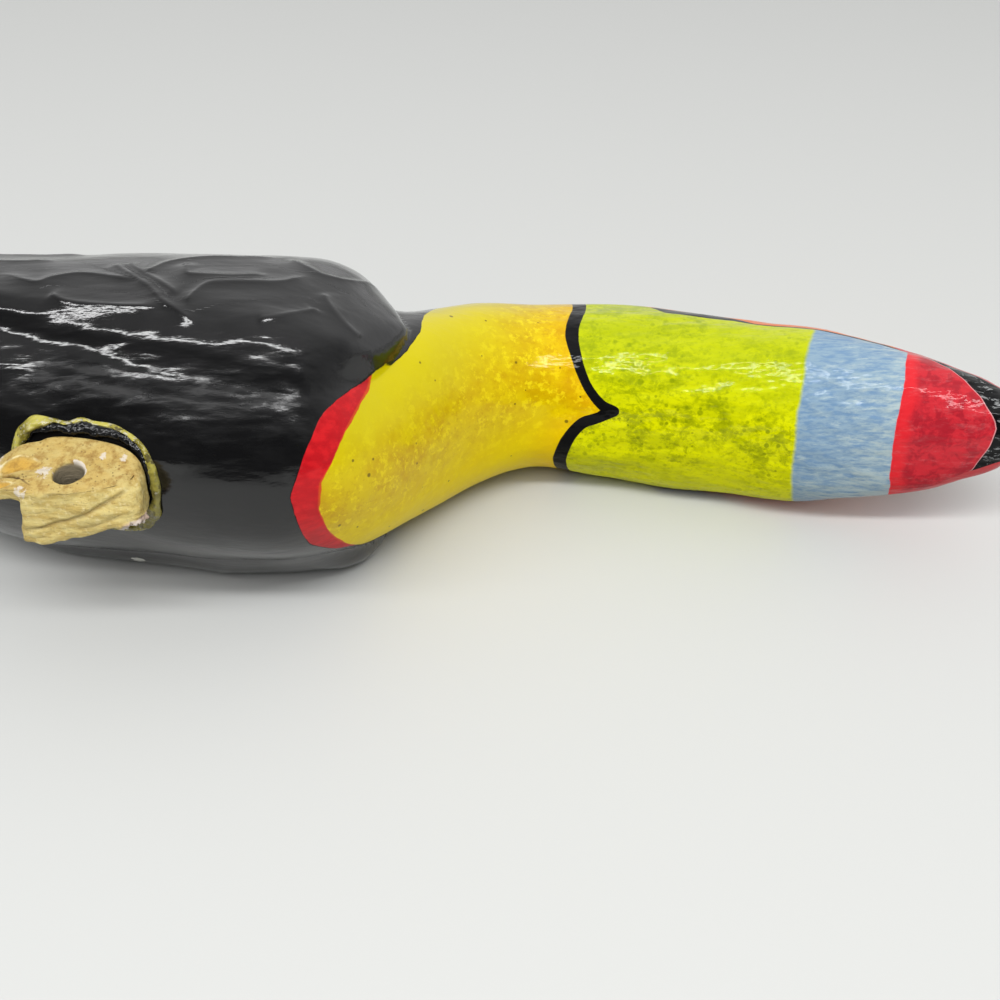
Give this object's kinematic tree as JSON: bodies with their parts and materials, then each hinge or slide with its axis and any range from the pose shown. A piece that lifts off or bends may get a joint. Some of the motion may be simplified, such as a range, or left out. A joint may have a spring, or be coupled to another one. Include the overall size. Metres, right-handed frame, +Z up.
{
  "type": "papier-mache toucan ornament",
  "caption": "Hand-painted, varnished papier-mache toucan lying on its side, with a modelled foot whose bore takes a perch.",
  "frame": {"origin": "middle of the underside of the whole object's box, on the table that the bird lies on", "axes": "+X from tail to beak, -Y out of the belly through the foot, +Z up, the bird lying on its left side"},
  "size_m": [0.4534, 0.113, 0.0842],
  "materials": {
    "painted_papier_mache": "hand-painted black, yellow, red, green and blue under gloss varnish",
    "modelling_paste": "matt tan paint, chipped to white at the edges",
    "dried_glue": "yellowed, slightly shiny"
  },
  "bodies": {
    "root": {"bird": "painted_papier_mache", "foot": "modelling_paste", "glue_bead": "dried_glue"}
  },
  "joints": []
}
